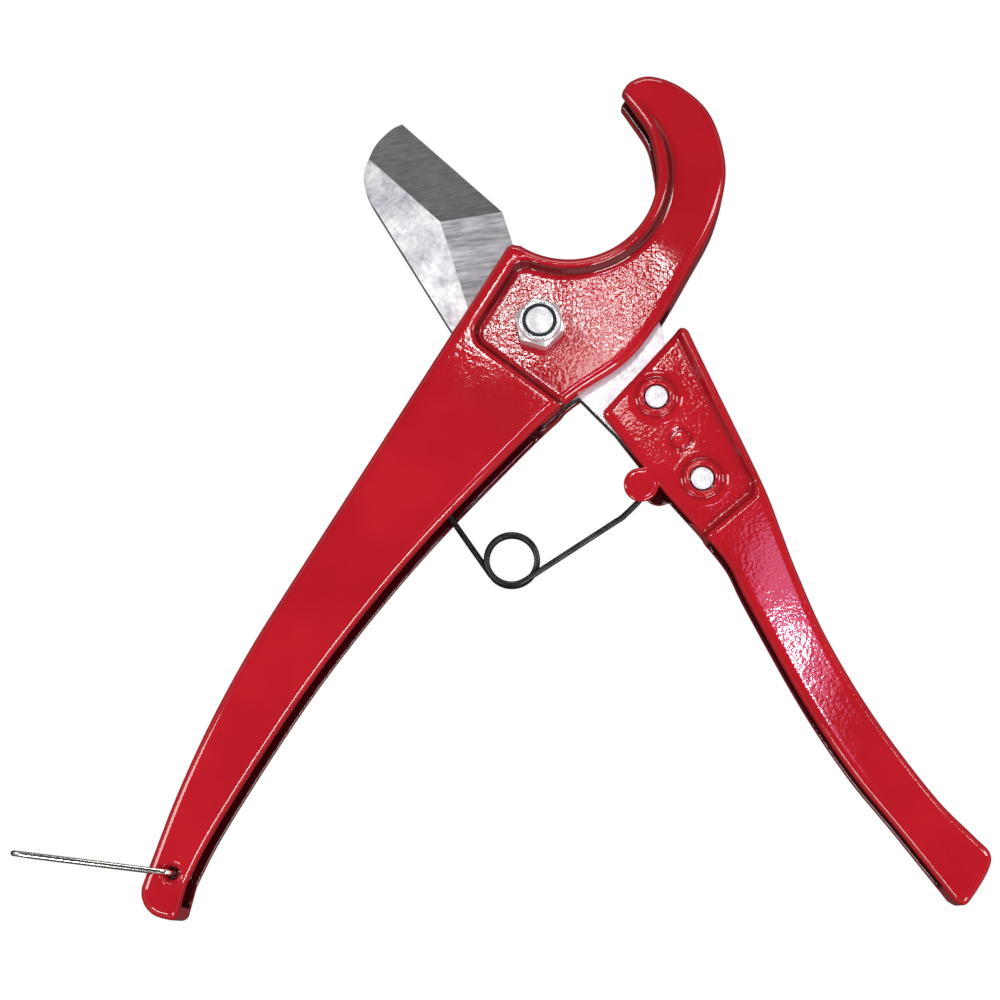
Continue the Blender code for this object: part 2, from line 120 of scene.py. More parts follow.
BOX_MARGIN = 1.0         # of the castings' sampled boxes past their nodes
CAST_WAVES = ((3.2, 0.012), (1.6, 0.010))    # wavelengths and heights of the cast unevenness
CAST_SHRINK = 0.02       # how far the surface stands back, so that the waves hardly pass the CAD size
FIXED_SEED = 11
MOVING_SEED = 23

# Pivot hardware.
BOLT_RADIUS = 3.0
BOLT_HEAD_HEIGHT = 4.0
BOLT_END_Z = 24.9
BOLT_TIP_RADIUS = 2.7
BOLT_DOME_RADIUS = 12.0
THREAD_PITCH = 1.0
THREAD_DEPTH = 0.32
THREAD_START = (17.0, 18.0)    # the heights between which the thread grows to its full depth
HEX_HALF = 5.0
NUT_LOW_Z = 18.1
NUT_HEX_HEIGHT = 4.4
NUT_TOP_Z = 24.1
NUT_COLLAR_RADIUS = 4.6
NUT_COLLAR_ROUND = 0.5
NUT_SEAT_RADIUS = 3.7    # of the hollow in the collar that holds the nylon ring
NUT_SEAT_DEPTH = 1.7
CHAMFER_SLOPE = 30.0
NYLON_RADII = (3.14, 3.66)
NYLON_DROP = 0.35
NYLON_ROUND = 0.26
NYLON_HEIGHT = 1.2
NUT_TURN = -17.0         # the nut and the bolt have come to rest turned this far

# Wires.
SPRING_CENTRE = (-6.3, -50.6)
SPRING_RADIUS = 5.5
SPRING_WIRE = 1.3
SPRING_PITCH = 1.5
LEG_1_HEADING = 124.8
LEG_1_LENGTH = 31.5
LEG_1_DROP = 0.3
LEG_2_HEADING = 33.6
LEG_2_LENGTH = 25.4
SPRING_TURNS = 2
SPRING_PIECE_GAP = 6.0
SPRING_HOOK = [(21.4, -37.7), (22.2, -36.0)]
BAIL_HOLE = (-77.6, -118.1)
BAIL_HOLE_RADIUS = 1.4
COUNTERSINK_DEPTH = 1.4
COUNTERSINK_FLARE = 0.7
BAIL_WIRE = 1.2
BAIL_LENGTH = 34.1
BAIL_HEADING = 173.0
BAIL_GAP = 0.15
BAIL_BEND = 2.2
BAIL_STUB = 3.6

# The camera looks down at the tool, with +Y up in its picture.
CAMERA_PLACE = (5.4, -132.8, 523.3)
CAMERA_TARGET = (-8.9, -37.2, 11.0)
CAMERA_LENS = 85.7
CAMERA_SENSOR = 36.0
CAMERA_CLIP = 20.0       # metres

FLOOR_REACH = 15000.0    # from the middle to each edge
FLOOR_Z = -0.4

# Mesh fineness: the distance between samples of the castings and of the nut and bolt.
CASTING_STEP = 0.53
HARDWARE_STEP = 0.15


# ---- outlines

def arc(centre, radius, start, end, steps=24):
    """Points round a centre, from one angle in degrees to another."""
    angles = [math.radians(start + (end - start) * i / steps) for i in range(steps + 1)]
    return [(centre[0] + radius * math.cos(a), centre[1] + radius * math.sin(a)) for a in angles]


def curve(anchors, steps=8):
    """A smooth curve through its anchors (Catmull-Rom)."""
    ends = [anchors[0]] + list(anchors) + [anchors[-1]]
    points = []
    for before, start, end, after in zip(ends, ends[1:], ends[2:], ends[3:]):
        for i in range(steps):
            t = i / steps
            points.append(tuple(
                0.5 * (2 * s + (e - b) * t + (2 * b - 5 * s + 4 * e - a) * t ** 2
                       + (3 * s - b - 3 * e + a) * t ** 3)
                for b, s, e, a in zip(before, start, end, after)))
    points.append(tuple(anchors[-1]))
    return points


def corner(before, tip, after, radius, steps=8):
    """The rounded corner between two straight runs."""
    tip = Vector(tip)
    back = (Vector(before) - tip).normalized()
    on = (Vector(after) - tip).normalized()
    half = back.angle(on) / 2
    centre = tip + (back + on).normalized() * (radius / math.sin(half))
    start = tip + back * (radius / math.tan(half)) - centre
    end = tip + on * (radius / math.tan(half)) - centre
    turn = start.angle_signed(end)
    return [tuple(centre + Matrix.Rotation(-turn * i / steps, 2) @ start) for i in range(steps + 1)]


def polar(heading, length, origin=(0, 0)):
    """The point this far from an origin along a heading in degrees."""
    angle = math.radians(heading)
    return (origin[0] + length * math.cos(angle), origin[1] + length * math.sin(angle))


def cleaned(points, least=0.02):
    """The outline without points that lie on top of each other."""
    kept = [points[0]]
    for point in points[1:]:
        if math.dist(point, kept[-1]) > least:
            kept.append(point)
    if math.dist(kept[0], kept[-1]) < least:
        kept.pop()
    return kept


def body_outline():
    """Counterclockwise: up the handle's inner edge, round the hook, down the jaw and the outer edge."""
    inner_edge = curve([(-74.6, -120.6), (-67.5, -107.0), (-48.8, -77.9), (-28.5, -52.0), (-7.9, -30.0),
                        (6.0, -16.6), (18.6, -7.8), (26.0, 1.2), (33.2, 13.5), (38.9, 24.5), (41.4, 36.5),
                        (38.4, 48.4), (32.0, 55.1), (25.1, 57.8), (20.4, 56.6), (18.4, 54.0)])
    tip = curve([(18.4, 54.0), (21.0, 50.2), (24.4, 44.6), polar(8, JAW_RADIUS, JAW_CENTRE)])
    jaw = arc(JAW_CENTRE, JAW_RADIUS, 8, -123, steps=40)
    head_corner = corner((-2.0, 17.3), (-6.6, 19.0), (-20.0, -2.9), 1.7)
    bend = corner((-6.6, 19.0), (-70.2, -83.2), (-85.6, -124.0), 250.0, steps=12)
    end = corner((-70.2, -83.2), (-86.0, -126.0), (-76.8, -128.2), 5.5, steps=12)
    toe = corner((-86.0, -126.0), (-76.8, -128.2), (-71.4, -116.0), 1.7)
    return cleaned(inner_edge + tip + jaw + head_corner + bend + end + toe)


def body_web_outline():
    """The fixed head's and hook's recessed face, drawn WEB_CORNER inside its edge so that its corners
    come out round; it runs out past the casting's outer edge."""
    jaw_side = arc(JAW_CENTRE, WEB_ARC_RADIUS + WEB_CORNER, -111, 62, steps=40)
    outside = [(30.0, 70.0), (60.0, 60.0), (60.0, -30.0), (14.9, -20.6)]
    return cleaned([(-10.2, -1.4)] + jaw_side + outside)


def slot_outline():
    """Where the blade passes between the cheeks, and its groove in the hook."""
    stop = [(-24.0, 6.6), (-16.7, -5.6)]
    hub = arc((0, 0), HUB_SLOT_RADIUS, -161, -130, steps=10)
    tail = arc((0, 0), TAIL_SWEEP_RADIUS, -130, -38, steps=24)
    groove = curve([(36.0, 2.0), (28.0, 5.4), (26.6, 9.4), (30.2, 15.8), (35.2, 26.0), (37.4, 36.0),
                    (35.4, 45.2), (31.6, 50.3), (26.6, 53.1), (22.0, 55.0), (18.0, 55.6), (12.0, 55.0)])
    return cleaned(stop + hub + tail + [(36.0, -12.0)] + groove + [(-10.0, 42.0)])


def body_channel_outline():
    """The fixed handle's channel, open along the inner edge and closed at the spine and the end."""
    top = arc((0, 0), CHANNEL_TOP_RADIUS, -157, -70)
    spine = curve([(-19.8, -8.4), (-42.0, -43.6), (-53.2, -61.5), (-66.0, -83.8), (-74.6, -102.0),
                   (-81.2, -121.4)])
    end = [(-79.8, -125.0), (-66.0, -125.0)]
    open_side = [(-62.0, -116.0), (-40.0, -81.0), (-12.0, -48.0), (14.0, -22.0)]
    return cleaned(spine + end + open_side + top[::-1])


def lever_outline():
    """Counterclockwise: up the moving handle's outer edge, over its top, and down its inner edge."""
    outer = curve([(86.3, -123.9), (88.5, -124.8), (90.6, -122.6), (93.8, -117.4), (94.2, -114.0),
                   (90.8, -110.3), (82.8, -101.9), (70.6, -85.0), (61.1, -68.3), (55.2, -54.3), (51.9, -45.0),
                   (49.4, -37.8), (45.9, -29.7), (38.2, -12.9), (34.5, -4.8)])
    top = corner((34.5, -4.8), (31.7, 1.5), (17.2, -14.3), 1.6)
    knuckle = corner((17.2, -14.3), (13.2, -18.6), (21.0, -28.9), 1.8)
    inner = curve([(21.0, -28.9), (28.2, -37.8), (34.8, -45.4), (40.4, -52.6), (44.4, -60.9), (55.9, -82.4),
                   (65.6, -97.5), (75.2, -109.6), (86.3, -123.9)])
    return cleaned(outer + top + knuckle + inner)


def lever_web_outline():
    """The recessed face of the moving handle's head, open past its inner and top edges."""
    return [(12.0, 2.0), (5.0, -20.0), (29.5, -50.2), (45.4, -37.0), (45.6, -34.6), (37.9, -18.8),
            (30.2, -2.2), (27.6, 4.6)]


def lever_channel_outline():
    """The moving handle's channel, open along the inner edge."""
    spine = curve([(46.2, -39.8), (48.0, -46.0), (51.8, -55.6), (58.4, -69.8), (68.2, -86.8), (79.2, -103.8),
                   (86.8, -113.2), (88.4, -116.4), (84.6, -120.6)])
    open_side = [(36.8, -47.0), (28.0, -54.0), (66.0, -114.0), (76.0, -126.0)]
    return cleaned(open_side + spine[::-1])


def tail_slot_outline():
    """The slot for the blade's tail in the moving handle's head."""
    return [(5.0, -20.0), (25.0, -44.0), (37.0, -42.2), (43.4, -35.4), (34.6, -16.4), (29.0, -5.4),
            (34.0, 4.0), (16.0, 4.0)]


def blade_outline():
    """Counterclockwise from the blade's point: nose, spine, hub, tail, heel and the two cutting edges."""
    nose = curve([POINT, (-33.4, 47.8), (-36.6, 44.2), (-38.4, 40.2), (-39.4, 36.6), (-39.0, 33.4),
                  (-37.6, 30.1)])
    hub = arc((0, 0), HUB_RADIUS, -163, -60, steps=40)
    tail = [(29.2, -36.2), (36.4, -40.4), (41.6, -34.6), (33.0, -16.4)]
    heel = curve([(27.6, -3.2), (26.4, 2.1), (23.6, 6.4), (14.0, 9.4), (2.0, 9.6), (-2.6, 11.4)])
    return cleaned(nose + hub + tail + heel + [EDGE_END, ELBOW])


# ---- distance fields

def outline_distance(x, y, outline):
    """Distance to a closed outline, negative inside it."""
    shape = np.broadcast(x, y).shape
    nearest = np.full(shape, np.inf)
    inside = np.zeros(shape, bool)
    for (ax, ay), (bx, by) in zip(outline, outline[1:] + outline[:1]):
        run, rise = bx - ax, by - ay
        dx, dy = x - ax, y - ay
        t = np.clip((dx * run + dy * rise) / (run * run + rise * rise), 0.0, 1.0)
        nearest = np.minimum(nearest, (dx - t * run) ** 2 + (dy - t * rise) ** 2)
        if rise:
            inside ^= ((ay > y) != (by > y)) & (dx < dy * (run / rise))
    return np.where(inside, -1.0, 1.0) * np.sqrt(nearest)


def point_distance(x, y, centre):
    return np.hypot(x - centre[0], y - centre[1])


def soft_max(a, b, width):
    """The larger of two fields, rounded where they meet."""
    blend = np.maximum(width - np.abs(a - b), 0.0) / width
    return np.maximum(a, b) + blend * blend * width / 4


def soft_min(a, b, width):
    """The smaller of two fields, rounded where they meet."""
    return -soft_max(-a, -b, width)


def smooth_step(value, start, end):
    """An eased rise from 0 at the start to 1 at the end."""
    t = np.clip((value - start) / (end - start), 0.0, 1.0)
    return t * t * (3 - 2 * t)


def rounded_block(side, top, rounding):
    """A plan shape's distance and a height's distance made one solid with rounded edges."""
    a, b = side + rounding, top + rounding
    outer = np.hypot(np.maximum(a, 0.0), np.maximum(b, 0.0))
    return outer + np.minimum(np.maximum(a, b), 0.0) - rounding


def stepped(distance, low, high, width):
    """A face's height across a sloping step: low inside an outline, high beyond it, eased at both ends."""
    rise = soft_min(soft_max(distance / width, 0.0, 0.3), 1.0, 0.3)
    return low + (high - low) * rise


def inner_shade(hollow):
    """1 on the walls of a hollow, fading out over its rim."""
    return 1.0 - smooth_step(hollow, 0.1, 0.6)


# ---- the two castings

def body_plan(x, y):
    """What the fixed handle's field needs to know about a place seen from above."""
    side = outline_distance(x, y, BODY_OUTLINE)
    web = outline_distance(x, y, BODY_WEB) - WEB_CORNER
    angle = np.degrees(np.arctan2(y - JAW_CENTRE[1], x - JAW_CENTRE[0]))
    fade = smooth_step(angle, *HOOK_ANGLES) * smooth_step(x, *HOOK_REACH)
    low = BODY_WEB_HALF + HOOK_WEB_RISE * fade
    high = BODY_HALF - HOOK_RIM_DROP * fade
    jaw = 1.0 - smooth_step(point_distance(x, y, JAW_CENTRE), WEB_ARC_RADIUS, WEB_ARC_RADIUS + 3.0)
    width = STEP_WIDTH + (JAW_STEP_WIDTH - STEP_WIDTH) * jaw
    face = stepped(web, low, high, width)
    cove = (1.0 - fade) * smooth_step(web, -0.2, 0.3) * (1.0 - smooth_step(web, width - 0.5, width + 0.2))
    nearest = np.minimum(*(point_distance(x, y, spot) for spot in ROUGH_SPOTS))
    return {"side": side, "face": face, "web": web, "cove": cove,
            "rough": 1.0 - smooth_step(nearest, *ROUGH_FADE),
            "slot": outline_distance(x, y, BODY_SLOT),
            "channel": outline_distance(x, y, BODY_CHANNEL),
            "pivot": point_distance(x, y, (0, 0)),
            "bail": point_distance(x, y, BAIL_HOLE)}


def hollows(plan, height, slot_half, channel_half):
    """The slot for the blade and the handle's channel, each negative inside it."""
    slot = np.maximum(plan["slot"], height - slot_half)
    return slot, rounded_block(plan["channel"], height - channel_half, CHANNEL_ROUND)


def body_field(plan, z):
    """The fixed handle, head and hook, negative inside the metal."""
    height = np.abs(z)
    solid = rounded_block(plan["side"], height - plan["face"], BODY_EDGE_ROUND)
    for hollow in hollows(plan, height, BLADE_SLOT_HALF, BODY_CHANNEL_HALF):
        solid = soft_max(solid, -hollow, 0.7)
    solid = soft_max(solid, CHEEK_HOLE_RADIUS - plan["pivot"], 0.6)
    countersink = COUNTERSINK_FLARE * smooth_step(height, BODY_HALF - COUNTERSINK_DEPTH, BODY_HALF)
    return soft_max(solid, BAIL_HOLE_RADIUS + countersink - plan["bail"], 0.9)


def body_grain(plan):
    """How rough-cast the surface is: most on the recessed faces, least on the handle's flats."""
    on_web = smooth_step(-plan["web"], 0.2, 1.2)
    head = 1.0 - smooth_step(plan["pivot"], *GRAIN_FADE)
    return 0.12 + (0.20 + 0.08 * on_web + 0.60 * on_web * plan["rough"]) * head


def body_shade(plan, z):
    """How much painted shade a point takes, as it is hidden from the light: 1 in the channel and the slot,
    less in the cove.
    """
    inside = inner_shade(np.minimum(*hollows(plan, np.abs(z), BLADE_SLOT_HALF, BODY_CHANNEL_HALF)))
    return np.maximum(inside, 0.8 * plan["cove"])


def lever_plan(x, y):
    """What the moving handle's field needs to know about a place seen from above."""
    side = outline_distance(x, y, LEVER_OUTLINE)
    web = outline_distance(x, y, LEVER_WEB)
    face = stepped(web, LEVER_WEB_HALF, LEVER_HALF, STEP_WIDTH)
    cove = smooth_step(web, -0.2, 0.2) * (1.0 - smooth_step(web, 0.6, 1.2))
    rivet = np.minimum(*(point_distance(x, y, centre) for centre in RIVETS.values()))
    face = face + PAD_HEIGHT * (1.0 - smooth_step(rivet, *PAD_RADII))
    mark = point_distance(x, y, RING_MARK)
    face = face - RING_MARK_DEPTH * np.exp(-((mark - RING_MARK_RADIUS) / RING_MARK_WIDTH) ** 2)
    return {"side": side, "face": face, "web": web, "rivet": rivet, "cove": cove, "mark": mark,
            "slot": outline_distance(x, y, TAIL_SLOT),
            "channel": outline_distance(x, y, LEVER_CHANNEL),
            "front_ear": point_distance(x, y, FRONT_EAR) - EAR_RADIUS,
            "back_ear": point_distance(x, y, BACK_EAR) - EAR_RADIUS}


def lever_field(plan, z):
    """The moving handle with its bosses and ears, negative inside the metal."""
    height = np.abs(z)
    solid = rounded_block(plan["side"], height - plan["face"], LEVER_EDGE_ROUND)
    middle = (EAR_TOP + EAR_GAP) / 2
    half = (EAR_TOP - EAR_GAP) / 2
    for ear, offset in (("front_ear", z - middle), ("back_ear", z + middle)):
        solid = soft_min(solid, rounded_block(plan[ear], np.abs(offset) - half, EAR_ROUND), 0.3)
    boss = rounded_block(plan["rivet"] - BOSS_RADIUS, height - BOSS_HALF, BOSS_ROUND)
    solid = soft_min(solid, boss, 0.35)
    slot, channel = hollows(plan, height, TAIL_SLOT_HALF, LEVER_CHANNEL_HALF)
    solid = soft_max(solid, -slot, 0.6)
    solid = soft_max(solid, -channel, 0.7)
    return soft_max(solid, RIVET_HOLE_RADIUS - plan["rivet"], 0.9)


def lever_grain(plan):
    """How rough-cast the surface is: most on the recessed face, clear of the bosses and the ears."""
    ears = np.minimum(plan["front_ear"], plan["back_ear"])
    clear = smooth_step(plan["rivet"], 5.8, 6.6) * smooth_step(ears, 0.0, 1.0)
    on_web = smooth_step(-plan["web"], 0.2, 1.2)
    return 0.32 + on_web * (0.6 * clear - 0.3)


def lever_shade(plan, z):
    """How much painted shade a point of the moving handle takes: 1 in the channel and the tail slot, less in
    the cove, and some in the ring mark's groove and round the bosses' feet.
    """
    # Painted shade in the ring mark's groove and at the foot of each boss.
    ring = 0.75 * np.exp(-((plan["mark"] - RING_MARK_RADIUS) / 0.28) ** 2)
    base = 0.4 * np.exp(-((plan["rivet"] - BOSS_RADIUS - 0.2) / 0.35) ** 2)
    inside = inner_shade(np.minimum(*hollows(plan, np.abs(z), TAIL_SLOT_HALF, LEVER_CHANNEL_HALF)))
    return np.maximum(np.maximum(ring, base), np.maximum(inside, 0.45 * plan["cove"]))


# ---- meshing

def surface_net(field, low, step):
    """Naive surface nets: points and four-sided faces where a sampled field changes sign."""
    inside = field < 0.0
    cells = tuple(n - 1 for n in field.shape)
    corners = np.array([(i, j, k) for i in (0, 1) for j in (0, 1) for k in (0, 1)])
    count = np.zeros(cells, np.int8)
    for i, j, k in corners:
        count += inside[i:i + cells[0], j:j + cells[1], k:k + cells[2]]
    active = (count > 0) & (count < 8)
    where = np.argwhere(active)
    number = np.full(cells, -1)
    number[active] = np.arange(len(where))
    total = np.zeros((len(where), 3))
    hits = np.zeros((len(where), 1))
    for axis, unit in enumerate(np.eye(3, dtype=int)):
        for start in corners[corners[:, axis] == 0]:
            a = field[tuple((where + start).T)]
            b = field[tuple((where + start + unit).T)]
            crossed = ((a < 0) != (b < 0))[:, None]
            share = (a / np.where(a == b, 1.0, a - b))[:, None]
            total += crossed * (start + share * unit)
            hits += crossed
    points = low + step * (where + total / hits)
    return points, np.concatenate([net_faces(inside, number, axis) for axis in range(3)])


def net_faces(inside, number, axis):
    """One face across each grid edge along an axis that crosses the surface, turned to face outwards."""
    u, v = (axis + 1) % 3, (axis + 2) % 3
    near = np.take(inside, range(inside.shape[axis] - 1), axis)
    far = np.take(inside, range(1, inside.shape[axis]), axis)
    edges = np.argwhere(near != far)
    ring = []
    for du, dv in ((-1, -1), (0, -1), (0, 0), (-1, 0)):
        cell = edges.copy()
        cell[:, u] += du
        cell[:, v] += dv
        ring.append(number[tuple(cell.T)])
    faces = np.stack(ring, 1)
    backward = ~near[tuple(edges.T)]
    faces[backward] = faces[backward][:, ::-1]
    return faces


def slopes(plan_of, field_of, points, reach):
    """The field and its direction of growth at each point."""
    x, y, z = points.T
    here = plan_of(x, y)
    value = field_of(here, z)
    grown = np.stack([
        field_of(plan_of(x + reach, y), z) - field_of(plan_of(x - reach, y), z),
        field_of(plan_of(x, y + reach), z) - field_of(plan_of(x, y - reach), z),
        field_of(here, z + reach) - field_of(here, z - reach)], 1) / (2 * reach)
    return value, grown


def meshed(plan_of, field_of, box, step):
    """The points, faces and normals of a solid given by its field, with the points moved onto its surface."""
    low = np.array(box[0]) - 1.6 * step
    counts = [int((high - start) / step) + 4 for start, high in zip(low, box[1])]
    x, y, z = (start + step * np.arange(count) for start, count in zip(low, counts))
    field = field_of(plan_of(x[:, None, None], y[None, :, None]), z[None, None, :])
    points, faces = surface_net(field, low, step)
    for _ in range(2):
        value, slope = slopes(plan_of, field_of, points, 0.2 * step)
        size = np.maximum((slope ** 2).sum(1), 0.1)
        move = slope * (-value / size)[:, None]
        length = np.linalg.norm(move, axis=1, keepdims=True)
        points = points + move * np.minimum(1.0, 0.5 * step / np.maximum(length, 1e-9))
    _, slope = slopes(plan_of, field_of, points, 0.4 * step)
    return points, faces, slope / np.linalg.norm(slope, axis=1, keepdims=True)


def value_noise(points, wavelength, seed):
    """Smooth noise between -1 and 1."""
    spots = points / wavelength
    low = np.floor(spots.min(0)).astype(int)
    size = np.floor(spots.max(0)).astype(int) - low + 2
    lattice = np.random.default_rng(seed).uniform(-1.0, 1.0, size)
    cell = np.floor(spots).astype(int)
    t = spots - cell
    t = t * t * (3 - 2 * t)
    cell = cell - low
    total = np.zeros(len(points))
    for i in (0, 1):
        for j in (0, 1):
            for k in (0, 1):
                weight = (np.where(i, t[:, 0], 1 - t[:, 0]) * np.where(j, t[:, 1], 1 - t[:, 1])
                          * np.where(k, t[:, 2], 1 - t[:, 2]))
                total += weight * lattice[cell[:, 0] + i, cell[:, 1] + j, cell[:, 2] + k]
    return total


def mesh_piece(name, points, faces):
    """An object from points in millimetres, shaded smooth."""
    mesh = bpy.data.meshes.new(name)
    mesh.from_pydata((np.asarray(points) * MM).tolist(), [], np.asarray(faces).tolist())
    mesh.update()
    mesh.shade_smooth()
    return linked(name, mesh)


def linked(name, data):
    """An object for a mesh, a light or a camera, put into the scene."""
    thing = bpy.data.objects.new(name, data)
    bpy.context.scene.collection.objects.link(thing)
    return thing


def casting(name, node, plan_of, field_of, grain_of, shade_of, seed):
    """A die casting: its field meshed, with the slight unevenness of a cast and painted surface."""
    low, high = ([value / MM for value in end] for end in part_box(node))
    box = [[low[0] - BOX_MARGIN, low[1] - BOX_MARGIN, low[2] - MIDDLE_Z - BOX_MARGIN],
           [high[0] + BOX_MARGIN, high[1] + BOX_MARGIN, high[2] - MIDDLE_Z + BOX_MARGIN]]
    points, faces, normals = meshed(plan_of, field_of, box, CASTING_STEP)
    plan = plan_of(points[:, 0], points[:, 1])
    grain = grain_of(plan)
    shade = shade_of(plan, points[:, 2])
    (long_wave, long_height), (short_wave, short_height) = CAST_WAVES
    waves = (long_height * value_noise(points, long_wave, seed)
             + short_height * value_noise(points, short_wave, seed + 1))
    points = points + normals * (grain * waves - CAST_SHRINK * grain)[:, None]
    points[:, 2] += MIDDLE_Z
    piece = mesh_piece(name, points, faces)
    for label, values in (("grain", grain), ("shade", shade)):
        attribute = piece.data.attributes.new(label, "FLOAT", "POINT")
        attribute.data.foreach_set("value", values.astype(np.float32))
    return piece


# ---- turned pieces, wires and plates

def turned(name, centre, profile, sides=64):
    """A solid turned about a vertical axis, from (radius, z) pairs that run up its outside.

    A radius of 0 closes the solid there; otherwise the profile is a closed ring."""
    points, faces = [], []
    for radius, z in profile:
        for i in range(sides):
            points.append((*polar(360 * i / sides, radius, centre), z))
    closed = profile[0][0] > 0 and profile[-1][0] > 0
    rows = len(profile)
    for row in range(rows if closed else rows - 1):
        low, high = row * sides, (row + 1) % rows * sides
        for i in range(sides):
            j = (i + 1) % sides
            faces.append((low + i, low + j, high + j, high + i))
    piece = mesh_piece(name, points, faces)
    tidy_mesh(piece)
    return piece


def tidy_mesh(piece, sharp=35.0):
    """Merge points that lie together, turn faces outwards and keep hard edges hard."""
    shape = bmesh.new()
    shape.from_mesh(piece.data)
    bmesh.ops.remove_doubles(shape, verts=shape.verts, dist=1e-6)
    bmesh.ops.dissolve_degenerate(shape, edges=shape.edges, dist=1e-7)
    bmesh.ops.recalc_face_normals(shape, faces=shape.faces)
    shape.to_mesh(piece.data)
    shape.free()
    piece.data.shade_smooth()
    piece.data.set_sharp_from_angle(angle=math.radians(sharp))


def swept_wire(name, path, diameter, sides=20):
    """A round wire along its path, with rounded ends."""
    path = [Vector(point) for point in path]
    radius = diameter / 2
    ends = [math.radians(a) for a in (75, 50, 25, 0)]
    first = (path[1] - path[0]).normalized()
    last = (path[-1] - path[-2]).normalized()
    rings = [(path[0] - first * radius * 0.6 * math.sin(a), radius * math.cos(a)) for a in ends]
    rings += [(point, radius) for point in path[1:-1]]
    rings += [(path[-1] + last * radius * 0.6 * math.sin(a), radius * math.cos(a)) for a in ends[::-1]]
    side = first.orthogonal().normalized()
    points = []
    for i, (centre, size) in enumerate(rings):
        before, after = rings[max(i - 1, 0)][0], rings[min(i + 1, len(rings) - 1)][0]
        along = (after - before).normalized()
        side = (side - along * side.dot(along)).normalized()
        across = along.cross(side)
        for k in range(sides):
            turn = 2 * math.pi * k / sides
            points.append(centre + (side * math.cos(turn) + across * math.sin(turn)) * size)
    faces = []
    for row in range(len(rings) - 1):
        for k in range(sides):
            j = (k + 1) % sides
            faces.append((row * sides + k, row * sides + j, (row + 1) * sides + j, (row + 1) * sides + k))
    mesh = bpy.data.meshes.new(name)
    count = len(points)
    caps = [tuple(range(sides))[::-1], tuple(range(count - sides, count))]
    mesh.from_pydata([tuple(point * MM) for point in points], [], faces + caps)
    mesh.shade_smooth()
    return linked(name, mesh)


def stacked(name, rings):
    """A closed solid through rings of (x, y, z) points, capped at the first and the last."""
    shape = bmesh.new()
    rows = [[shape.verts.new(Vector(point) * MM) for point in ring] for ring in rings]
    for low, high in zip(rows, rows[1:]):
        for i in range(len(low)):
            j = (i + 1) % len(low)
            shape.faces.new((low[i], low[j], high[j], high[i]))
    shape.faces.new(rows[0][::-1])
    shape.faces.new(rows[-1])
    bmesh.ops.recalc_face_normals(shape, faces=shape.faces)
    mesh = bpy.data.meshes.new(name)
    shape.to_mesh(mesh)
    shape.free()
    return linked(name, mesh)


def cut(piece, tool):
    """Cut one solid out of another at once, and remove the tool."""
    modifier = piece.modifiers.new("cut", "BOOLEAN")
    modifier.operation = "DIFFERENCE"
    modifier.solver = "EXACT"
    modifier.object = tool
    applied(piece)
    bpy.data.objects.remove(tool)


def applied(piece):
    """Make a piece's modifiers part of its mesh."""
    evaluated = piece.evaluated_get(bpy.context.evaluated_depsgraph_get())
    mesh = bpy.data.meshes.new_from_object(evaluated)
    piece.modifiers.clear()
    piece.data = mesh


# ---- blade

def bevel_cutter(name, start, end, width, overrun, side):
    """A wedge above (or below) one ground facet of the blade, from its edge to its ridge."""
    along = (Vector(end) - Vector(start)).normalized()
    inward = Vector((along.y, -along.x))
    slope = (BLADE_HALF - EDGE_HALF) / width
    section = [(-4.0, EDGE_HALF - 4.0 * slope), (width + 2.0, BLADE_HALF + 2.0 * slope),
               (-4.0, BLADE_HALF + 3.0)]
    rings = []
    for base in (Vector(start) - along * overrun, Vector(end) + along * overrun):
        rings.append([(*(base + inward * depth), MIDDLE_Z + side * height) for depth, height in section])
    return stacked(name, rings)


def blade_piece():
    """Flat steel, ground on both faces along its two cutting edges, with its hard edges just broken."""
    outline = blade_outline()
    steel = stacked("ground_blade", [[(x, y, MIDDLE_Z + side * BLADE_HALF) for x, y in outline]
                                     for side in (-1, 1)])
    for side in (1, -1):
        cut(steel, bevel_cutter("long_bevel", POINT, ELBOW, LONG_BEVEL_WIDTH, 7.0, side))
        cut(steel, bevel_cutter("short_bevel", ELBOW, EDGE_END, SHORT_BEVEL_WIDTH, 6.0, side))
    holes = [((0, 0), BLADE_BORE_RADIUS)] + [(centre, RIVET_HOLE_RADIUS) for centre in RIVETS.values()]
    for centre, radius in holes:
        ring = arc(centre, radius, 0, 352.5, steps=47)
        cut(steel, stacked("hole", [[(x, y, z) for x, y in ring] for z in (0.0, 22.0)]))
    tidy_mesh(steel)
    bevel = steel.modifiers.new("broken_edges", "BEVEL")
    bevel.width = BROKEN_EDGE * MM
    bevel.segments = 2
    bevel.limit_method = "ANGLE"
    bevel.angle_limit = math.radians(30.0)
    applied(steel)
    steel.data.shade_smooth()
    steel.data.set_sharp_from_angle(angle=math.radians(3.0))
    for material in blade_steels():
        steel.data.materials.append(material)
    for face in steel.data.polygons:
        face.material_index = facet_of(face)
    return steel


def facet_of(face):
    """Which of the blade's materials a face takes: 0 flats, 1 the long facet, 2 the short one, 3 sides."""
    if abs(face.normal.z) < 0.5:
        return 3
    if not 0.9 < abs(face.normal.z) < 0.9995:
        return 0
    tilt = Vector((face.normal.x, face.normal.y)).normalized()
    long_run = (Vector(ELBOW) - Vector(POINT)).normalized()
    return 1 if abs(tilt.dot(long_run)) < 0.2 else 2


# ---- pivot hardware and rivets

def hardware_plan(x, y):
    """Distances to the nut's hexagon and to the axis."""
    flats = [math.radians(NUT_TURN + a) for a in (30, 90, 150)]
    across = [np.abs(x * math.cos(a) + y * math.sin(a)) for a in flats]
    hexagon = soft_max(soft_max(across[0], across[1], 0.3), across[2], 0.3) - HEX_HALF
    return {"hexagon": hexagon, "radius": np.hypot(x, y), "angle": np.arctan2(y, x)}


